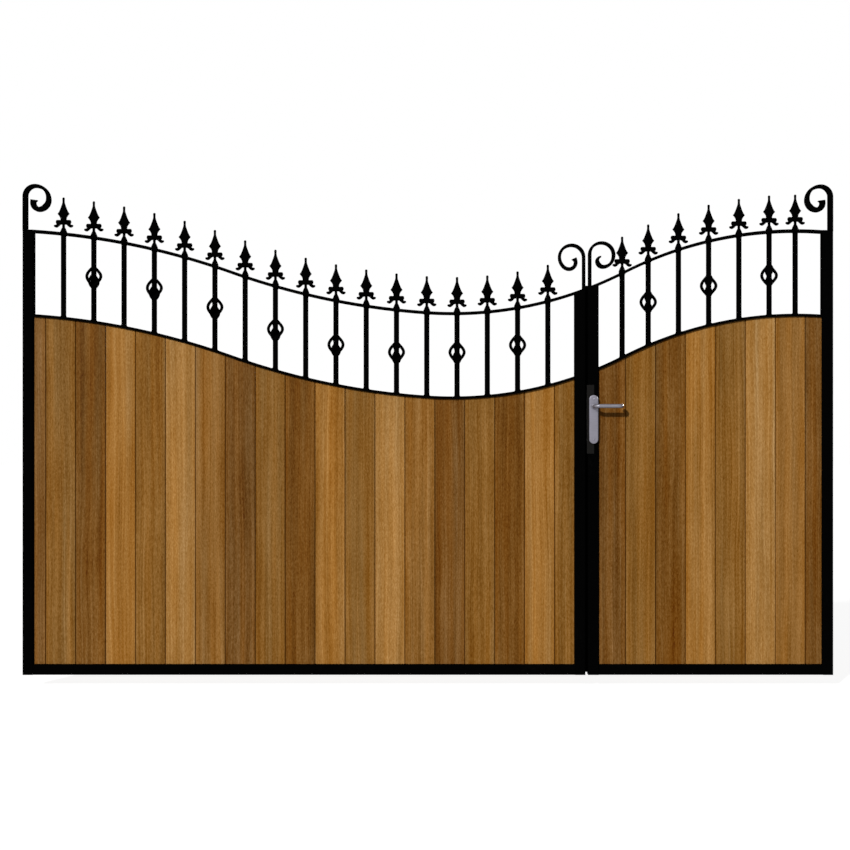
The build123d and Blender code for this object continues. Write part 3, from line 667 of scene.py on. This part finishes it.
def weld_rings(x, drop, rise, way):
    """Fillet welds round the bars: a hollow three-sided loop taken once round, standing on the rail's face at each
    point, its reach rippled by a cosine so that the beads show."""
    turn = 2 * np.pi * np.arange(WELD_SIDES) / WELD_SIDES
    out = np.array([-0.8, 0.4, 1.0, 2.0, 3.6, 3.6, -0.8])
    up = np.array([4.4, 3.6, 2.2, 1.1, 0.5, -0.8, -0.8])
    ripple = 1.0 + WELD_RIPPLE * np.cos(WELD_BEADS * turn)[:, None] * np.clip(up, 0, 4)[None, :] / 3.0
    reach = BAR_RADIUS + out[None, :] * ripple
    points = np.empty((len(x), WELD_SIDES, len(out), 3))
    points[..., 0] = x[:, None, None] + (reach * np.cos(turn)[:, None])[None]
    points[..., 1] = FRAME_Y + (reach * np.sin(turn)[:, None])[None]
    points[..., 2] = sweep(points[..., 0], rise) - drop + way * (up[None, :] * ripple)[None]
    return shells(points, rows_wrap=True)


for side, x in (("left", LEFT_BARS), ("right", RIGHT_BARS)):
    parts = [round_bars(x), weld_rings(x, RAIL_DROP, RAIL_HALF, 1.0), weld_rings(x, 0.0, -RAIL_HALF, -1.0)]
    ironwork(side, "round_bars", parts, "bars")


# Baskets

# radius and height of the cone over a basket's upper end
BASKET_CONE = np.array([
    [9.4, 38.6], [10.6, 38.2], [12.0, 36.6], [13.2, 34.4], [13.5, 32.4], [13.0, 30.4], [9.4, 29.6]])


def basket_rods(places):
    """Four rods bowed round a bar: the distance from the bar grows and falls like a power of half a sine while the
    angle turns evenly on the way down, a quarter turn between rods; a round is carried along each."""
    share = np.linspace(0, 1, 33)
    reach = BASKET_NECK + BASKET_BULGE * np.sin(np.pi * share)**BASKET_BULGE_POWER
    turn = radians(BASKET_START) + np.pi / 2 * np.arange(4)[:, None] + radians(BASKET_TWIST) * (share - 0.5)
    height = np.broadcast_to(BASKET_HEIGHT / 2 - BASKET_HEIGHT * share, turn.shape)
    rods = np.stack([reach * np.cos(turn), reach * np.sin(turn), height], axis=-1)
    tubes = carried(rods, (0.0, 0.0, 1.0), BASKET_ROD * ring(BASKET_ROD_SIDES))
    copies = tubes[None] + np.asarray(places)[:, None, None, None, :]
    return shells(copies.reshape(-1, len(share), BASKET_ROD_SIDES, 3))


def basket_ends(places, way):
    """Soft cones where the rods gather on the bar, turned, at each basket's upper or lower end."""
    return shells(placed(turned(BASKET_CONE * (1.0, way), HEAD_SIDES), places))


for side, bars, shares in (("left", LEFT_BARS, LEFT_BASKET_SHARES), ("right", RIGHT_BARS, RIGHT_BASKET_SHARES)):
    x = bars[1::2]
    middles = np.stack([x, np.full(len(x), FRAME_Y), sweep(x, RAIL_HALF) - RAIL_DROP * shares], axis=-1)
    parts = [basket_rods(middles), basket_ends(middles, 1.0), basket_ends(middles, -1.0)]
    ironwork(side, "twist_baskets", parts, "baskets", BASKET_SHARP)


# Railheads

# height, half width and half thickness of the blade
BLADE = np.array([
    [34.0, 9.3, 4.0], [44.0, 11.5, 5.0], [48.5, 11.7, 5.4], [52.0, 11.9, 5.8], [56.7, 12.8, 6.4], [61.6, 15.3, 6.9],
    [64.9, 17.7, 7.2], [68.2, 20.5, 7.4], [70.4, 22.3, 7.5], [71.6, 22.8, 7.5], [73.0, 21.9, 7.5], [78.0, 18.0, 7.3],
    [86.0, 14.2, 6.7], [94.0, 11.1, 5.8], [102.6, 8.1, 4.9], [110.8, 5.4, 4.1], [115.7, 4.5, 3.8], [122.0, 4.4, 3.8],
    [127.0, 4.8, 4.2], [130.5, 4.5, 4.0], [132.5, 3.2, 2.9], [133.0, 1.6, 1.5]])
# out and up, round the right half of the band and its curled leaf
CURL = np.array([
    [10.0, 47.4], [23.4, 47.4], [26.6, 45.8], [28.4, 41.0], [27.4, 36.2], [25.2, 32.0], [29.8, 29.4], [34.2, 28.8],
    [35.8, 25.8], [33.4, 22.2], [28.6, 20.2], [25.0, 20.2], [20.4, 22.6], [15.4, 27.0], [11.0, 30.8], [5.0, 31.4]])
# radius and height of the collar
COLLAR = np.array([
    [12.5, -8.0], [13.4, -1.0], [13.4, 1.0], [12.6, 4.0], [11.2, 7.2], [9.4, 11.8], [7.8, 15.4], [6.5, 18.0],
    [5.4, 19.8], [5.2, 21.6], [5.2, 29.0], [5.6, 34.0]])


def railhead_blades(feet):
    """Spear blades: soft diamonds whose half width and half thickness follow the height, with a ridge up the
    middle."""
    loop = ring(HEAD_SIDES, BLADE_POWER)
    points = np.empty((len(BLADE), HEAD_SIDES, 3))
    points[..., 0] = BLADE[:, None, 1] * loop[None, :, 0]
    points[..., 1] = BLADE[:, None, 2] * loop[None, :, 1]
    points[..., 2] = BLADE[:, None, 0]
    return shells(placed(points, feet))


def smooth_loop(points, steps):
    """A closed curve through points: on each span a cubic whose slope at a point is half the step between its two
    neighbours."""
    before, after, later = np.roll(points, 1, 0), np.roll(points, -1, 0), np.roll(points, -2, 0)
    share = (np.arange(steps) / steps)[None, :, None]
    a, b, c, d = [p[:, None, :] for p in (before, points, after, later)]
    curve = 2 * b + (c - a) * share + (2 * a - 5 * b + 4 * c - d) * share**2 + (3 * b - a - 3 * c + d) * share**3
    return 0.5 * curve.reshape(-1, points.shape[1])


def railhead_curls(feet):
    """The band and its two curled leaves, cast in one: their outline, mirrored, with its edge rolled over by the
    cosine and the sine of a half turn."""
    outline = smooth_loop(np.concatenate([CURL, CURL[::-1] * (-1.0, 1.0)]), 3)
    run = np.roll(outline, -1, 0) - np.roll(outline, 1, 0)
    inward = np.stack([run[:, 1], -run[:, 0]], axis=-1) / np.linalg.norm(run, axis=-1, keepdims=True)
    turn = np.linspace(-np.pi / 2, np.pi / 2, CURL_ROWS)[:, None]
    draw = CURL_ROLL * (1 - np.cos(turn)) - CURL_GROWTH
    points = np.empty((CURL_ROWS, len(outline), 3))
    points[..., 0] = outline[None, :, 0] + draw * inward[None, :, 0]
    points[..., 1] = CURL_HALF * np.sin(turn)
    points[..., 2] = outline[None, :, 1] + draw * inward[None, :, 1]
    return shells(placed(points, feet))


def railhead_collars(feet):
    """Turned collars: a bell that narrows to the neck and a stub up into the band."""
    return shells(placed(turned(COLLAR, HEAD_SIDES), feet))


for side, x in (("left", LEFT_BARS), ("right", RIGHT_BARS)):
    feet = np.stack([x, np.full(len(x), FRAME_Y), sweep(x, RAIL_HALF)], axis=-1)
    parts = [railhead_blades(feet), railhead_curls(feet), railhead_collars(feet)]
    ironwork(side, "spear_heads", parts, "railheads", HEAD_SHARP)


# Scrolls

# radius and turn of each bend
HANGING_BENDS = ((36.0, 90.0), (50.0, 90.0), (34.0, 90.0), (23.0, 90.0), (85.0, 8.0))
LEFT_MEETING_BENDS = ((45.0, 90.0), (45.0, 90.0), (50.0, 45.0), (31.0, 45.0), (24.0, 90.0), (40.0, 26.0))
RIGHT_MEETING_BENDS = ((45.0, 90.0), (45.0, 90.0), (47.6, 45.0), (38.7, 45.0), (21.0, 90.0), (14.0, 95.0))
# number of bends gone round, and the bar's share of its full thickness there
HANGING_TAPER = (
    (0.0, 0.93), (0.5, 0.86), (1.0, 0.68), (1.5, 0.58), (2.0, 0.9), (2.5, 1.04), (3.0, 0.88), (3.5, 1.0), (4.4, 1.0),
    (5.0, 1.32))
LEFT_MEETING_TAPER = (
    (0.0, 0.95), (0.5, 1.0), (1.0, 0.96), (1.5, 0.82), (2.0, 0.88), (3.0, 0.97), (4.0, 1.03), (4.5, 1.12), (5.3, 1.02),
    (6.0, 1.5))
RIGHT_MEETING_TAPER = (
    (0.0, 1.0), (0.5, 0.78), (1.0, 0.92), (2.0, 1.02), (3.0, 0.88), (4.0, 1.1), (4.5, 1.32), (5.0, 1.18), (5.6, 0.8),
    (6.0, 0.4))


def scroll(x, seat, rise, way, thick, depth, bends, taper):
    """A curled flat bar flush with the frame's front: up from just below its seat, then round the bends, a soft
    rectangle carried along whose inner side draws in and out with the taper."""
    spring = seat + rise - thick / 2 - bends[0][0]
    stem = np.stack([np.full(STEM_POINTS, x), np.linspace(seat - STEM_SINK, spring, STEM_POINTS)], axis=-1)
    line = np.concatenate([stem, bent_round((x, spring), np.pi / 2, way, bends)])
    path = np.stack([line[:, 0], np.full(len(line), FRAME_Y - (RAIL_DEPTH - depth) / 2), line[:, 1]], axis=-1)
    gone_round = np.linspace(0, len(bends), (BEND_POINTS - 1) * len(bends) + 1)[1:]
    along = np.concatenate([np.zeros(STEM_POINTS), gone_round])
    share = np.interp(along, *np.transpose(taper))[:, None]
    section = np.repeat(soft_box(thick, depth, SCROLL_CORNER)[None], len(line), axis=0)
    section[..., 0] = -way * (thick / 2 - (thick / 2 + way * section[..., 0]) * share)
    return shells(carried(path[None], (0.0, 1.0, 0.0), section[None]))


for side, hanging_x, inner_x, meeting_x, way, bends, taper in (
        ("left", 22.0, LEFT_OPENING[0], 2122.0, -1.0, LEFT_MEETING_BENDS, LEFT_MEETING_TAPER),
        ("right", 3050.0, RIGHT_OPENING[1], 2145.0, 1.0, RIGHT_MEETING_BENDS, RIGHT_MEETING_TAPER)):
    hanging_seat, meeting_seat = sweep([inner_x, meeting_x], RAIL_HALF)
    parts = [
        scroll(hanging_x, hanging_seat, 172.0, way, thick=20.0, depth=20.0, bends=HANGING_BENDS, taper=HANGING_TAPER),
        scroll(meeting_x, meeting_seat, 169.0, -way, thick=13.0, depth=18.0, bends=bends, taper=taper),
    ]
    ironwork(side, "curled_ends", parts, "scrolls")


# Lever lock

# radius and height of the lever's hub
HUB = np.array([[9.0, 0.3], [9.6, 0.9], [9.6, 6.2], [9.1, 7.6], [8.0, 8.3], [6.0, 8.6]])


def rounded_plate(outline, back, front, edge):
    """A plate with a rolled edge: the outline drawn in by one less the cosine, and brought forward by the sine, of a
    quarter turn, from a square back to a nearly flat front that is crowned a little."""
    run = np.gradient(np.concatenate([outline[-1:], outline, outline[:1]]), axis=0)[1:-1]
    inward = np.stack([-run[:, 1], run[:, 0]], axis=-1) / np.linalg.norm(run, axis=-1, keepdims=True)
    turn = np.linspace(0, np.pi / 2, 7)
    draw = np.concatenate([[0.0], edge * (1 - np.cos(turn)), [edge + 2.0, edge + 5.0]])
    way = np.sign(front - back)
    depth = np.concatenate([[back], front - way * edge * (1 - np.sin(turn)), [front + way * 0.12, front + way * 0.2]])
    points = np.empty((1, len(draw), len(outline), 3))
    points[0, ..., 0] = outline[None, :, 0] + draw[:, None] * inward[None, :, 0]
    points[0, ..., 1] = depth[:, None]
    points[0, ..., 2] = outline[None, :, 1] + draw[:, None] * inward[None, :, 1]
    return shells(points)


def slot_outline(x, low, high, half):
    """An upright outline with full round ends: two half turns."""
    turn = np.linspace(0, np.pi, 25)
    upper = np.stack([x + half * np.cos(turn), high - half + half * np.sin(turn)], axis=-1)
    lower = np.stack([x - half * np.cos(turn), low + half - half * np.sin(turn)], axis=-1)
    return np.concatenate([upper, lower])


def screw_heads(places, way):
    """Domed screw heads that face to the front or the back: rings whose radius falls as they rise to the crown, then
    sink into a round recess in the middle."""
    out = np.array([1.0, 1.0, 0.93, 0.72, 0.42, 0.36, 0.30]) * SCREW_RADIUS
    up = np.array([-0.6, 0.12, 0.42, 0.82, 1.0, 0.55, 0.5]) * SCREW_HEIGHT
    loop = ring(SCREW_SIDES)
    points = np.empty((len(out), SCREW_SIDES, 3))
    points[..., 0] = out[:, None] * loop[None, :, 0]
    points[..., 1] = way * up[:, None]
    points[..., 2] = out[:, None] * loop[None, :, 1]
    return shells(placed(points, places))


def lever(seat, way):
    """A lever: a round carried out from its seat, along, and back towards the gate, with wide bends and an eased
    end, and a turned hub over its root."""
    root, grip, tip = seat + way * np.array([LEVER_ROOT, LEVER_STAND, LEVER_RETURN])
    end_x = SPINDLE_X + LEVER_REACH
    path = bent_line(
        [(SPINDLE_X, root, LEVER_Z), (SPINDLE_X, grip, LEVER_Z), (end_x, grip, LEVER_Z), (end_x, tip, LEVER_Z)],
        LEVER_BENDS, 13)
    run = np.concatenate([[0.0], np.cumsum(np.linalg.norm(np.diff(path, axis=0), axis=-1))])
    keep = np.linspace(0, run[-1], LEVER_ROWS)
    path = np.stack([np.interp(keep, run, path[:, i]) for i in range(3)], axis=-1)
    left = (run[-1] - keep) / LEVER_EASE
    ease = np.sqrt(1 - np.clip(1 - left, 0, 0.97)**2)
    section = LEVER_RADIUS * ease[:, None, None] * ring(LEVER_SIDES)[None]
    tube = carried(path[None], (0.0, 0.0, 1.0), section[None])
    hub = turned(HUB, HUB_SIDES)
    hub = np.stack([hub[..., 0] + SPINDLE_X, seat + way * (PLATE_THICK + hub[..., 2]), LEVER_Z + hub[..., 1]], axis=-1)
    return [shells(tube), shells(hub[None])]


for side, seat, way in (("front", FRONT_SEAT, -1.0), ("back", BACK_SEAT, 1.0)):
    outline = slot_outline(SPINDLE_X, PLATE_LOW, PLATE_HIGH, PLATE_HALF)
    face = seat + way * PLATE_THICK
    screws = [(SPINDLE_X, face, PLATE_HIGH - SCREW_INSET), (SPINDLE_X, face, PLATE_LOW + SCREW_INSET)]
    parts = [rounded_plate(outline, seat, face, PLATE_EDGE), screw_heads(screws, way)]
    piece(f"{side}_lock_plate", parts, "right_leaf", SATIN_STEEL, [f"{side}_handle_plate"])
    piece(f"{side}_lever_handle", lever(seat, way), "lever", LEVER_STEEL, [f"{side}_lever"])


# Floor, light and camera

def seen_directly(nodes):
    """One for what is seen straight, in gloss or through glass, and nothing for the light that falls on the gate."""
    path = nodes("LightPath").outputs
    straight = nodes.math("MAXIMUM", path["Is Camera Ray"], path["Is Glossy Ray"])
    return nodes.math("MAXIMUM", straight, path["Is Transmission Ray"])


def plain_floor(z):
    """A wide flat floor, in metres: one rectangle of four points, white where it is seen and grey to the light."""
    corners = np.array([[-30.0, -30.0, z], [33.0, -30.0, z], [33.0, 30.0, z], [-30.0, 30.0, z]])
    mesh = bpy.data.meshes.new("floor")
    mesh.from_pydata(corners.tolist(), [], [(0, 1, 2, 3)])
    made = bpy.data.materials.new("floor_white")
    made.use_nodes = True
    made.node_tree.nodes.clear()
    nodes = Nodes(made.node_tree)
    shade = nodes("BsdfDiffuse", {"Color": (FLOOR_GREY, FLOOR_GREY, FLOOR_GREY, 1.0)})
    glow = nodes("Emission", {"Color": WHITE, "Strength": nodes.math("MULTIPLY", seen_directly(nodes), FLOOR_GLOW)})
    both = nodes("AddShader", {0: shade.outputs[0], 1: glow.outputs[0]})
    nodes("OutputMaterial", {"Surface": both.outputs[0]})
    mesh.materials.append(made)
    floor = in_scene("floor", mesh)


def studio_world(fill):
    """White where it is seen directly, in gloss or through glass, and a soft even fill elsewhere."""
    world = bpy.data.worlds.new("studio")
    bpy.context.scene.world = world
    world.use_nodes = True
    world.node_tree.nodes.clear()
    nodes = Nodes(world.node_tree)
    strength = nodes.spread(seen_directly(nodes), 0.0, 1.0, fill, 1.0)
    background = nodes("Background", {"Color": WHITE, "Strength": strength})
    nodes("OutputWorld", {"Surface": background.outputs[0]})


def sun(name, direction, strength, spread, shadow):
    """A distant lamp that shines along the given direction."""
    lamp = bpy.data.lights.new(name, "SUN")
    lamp.energy = strength
    lamp.angle = radians(spread)
    lamp.use_shadow = shadow
    run = np.array(direction) / np.linalg.norm(direction)
    in_scene(name, lamp).rotation_euler = (np.arccos(-run[2]), 0.0, np.arctan2(-run[0], run[1]))


plain_floor((FOOT - FLOOR_DROP) * MM)
studio_world(fill=0.24)
sun("key_lamp", direction=(0.5, 1.0, -0.5), strength=2.95, spread=2.5, shadow=True)
sun("back_lamp", direction=(-0.5, -1.0, -0.2), strength=2.5, spread=2.5, shadow=False)

lens = bpy.data.cameras.new("front_camera")
lens.sensor_width = 36.0
lens.lens = 61.99
camera = in_scene("front_camera", lens)
camera.location = (1.5253, -5.611, 0.7195)
camera.rotation_euler = (radians(90.0), 0.0, 0.0)
bpy.context.scene.camera = camera
bpy.context.scene.view_settings.view_transform = "Standard"
